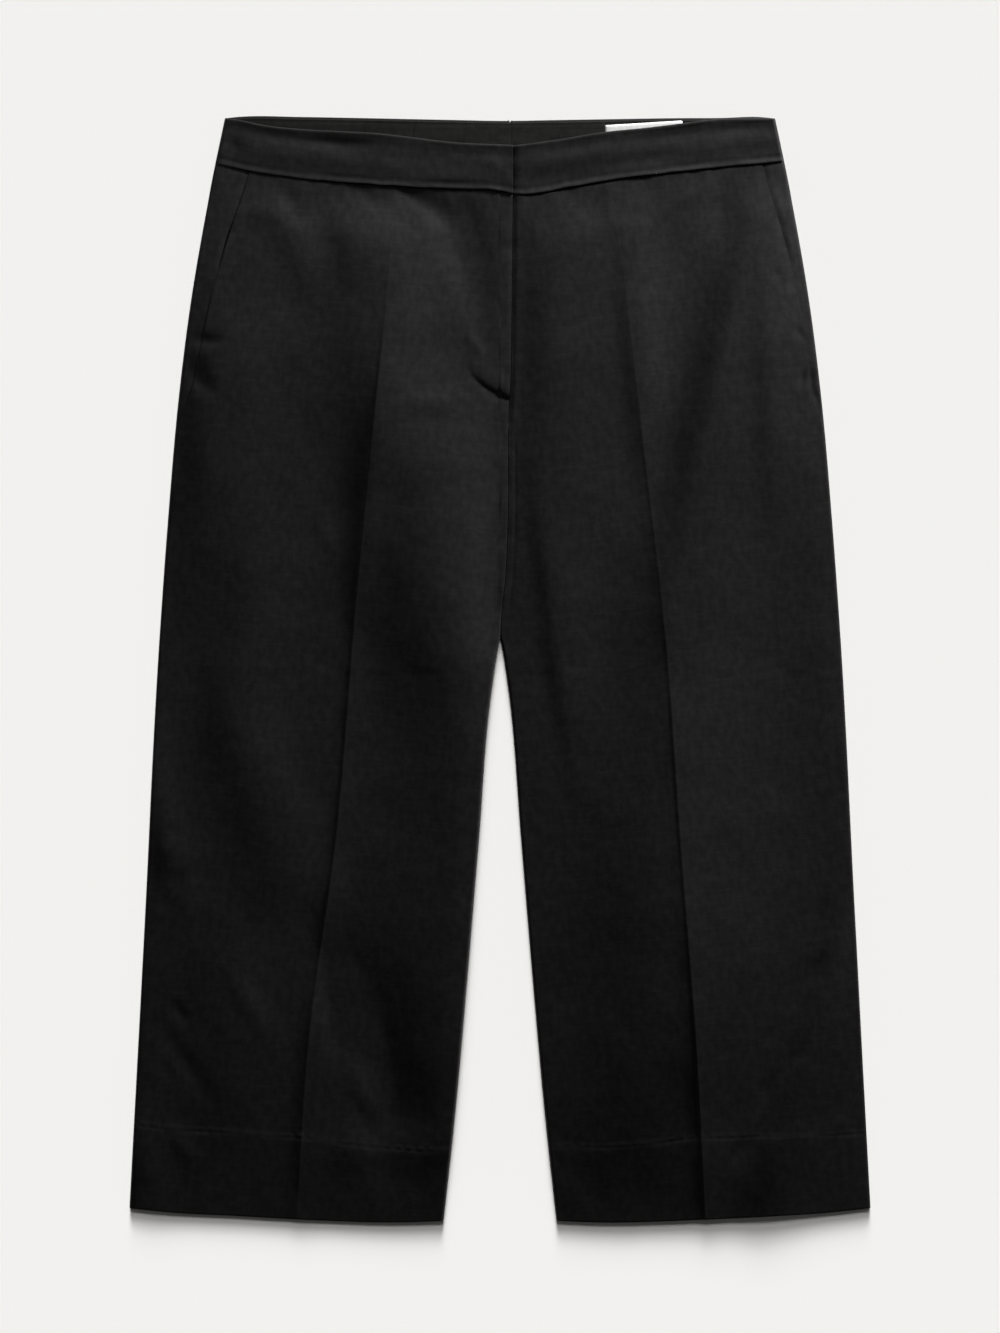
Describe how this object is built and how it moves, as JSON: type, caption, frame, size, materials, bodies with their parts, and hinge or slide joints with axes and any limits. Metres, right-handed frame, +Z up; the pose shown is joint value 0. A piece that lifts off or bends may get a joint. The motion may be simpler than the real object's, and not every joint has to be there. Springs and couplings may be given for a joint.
{
  "type": "long shorts with wide legs, laid flat",
  "caption": "High-waisted long shorts in black slubbed cloth with wide creased legs, slanted front pockets and a closed fly, laid flat.",
  "frame": {"origin": "under the middle of the garment, on the surface that it lies on", "axes": "+X towards the wearer's left, +Y towards the waist, +Z up off the surface, out of the front"},
  "size_m": [0.504, 0.753, 0.0157],
  "materials": {
    "outer_cloth": "black slubbed linen-look plain weave, matte with a faint sheen",
    "band_cloth": "the same black cloth, interfaced and pressed smooth",
    "facing_cloth": "black facing cloth, a little warmer and flatter",
    "label_tape": "blank white satin tape"
  },
  "bodies": {
    "root": {"front_left": "outer_cloth", "front_right": "outer_cloth", "back_left": "outer_cloth", "back_right": "outer_cloth", "pocket_left": "outer_cloth", "pocket_right": "outer_cloth", "waistband_front_left": "band_cloth", "waistband_front_right": "band_cloth", "waistband_back_left": "band_cloth", "waistband_back_right": "band_cloth", "facing_side_left": "facing_cloth", "facing_side_right": "facing_cloth", "facing_back_left": "facing_cloth", "facing_back_right": "facing_cloth", "fly_shield": "outer_cloth", "label": "label_tape"}
  },
  "joints": []
}
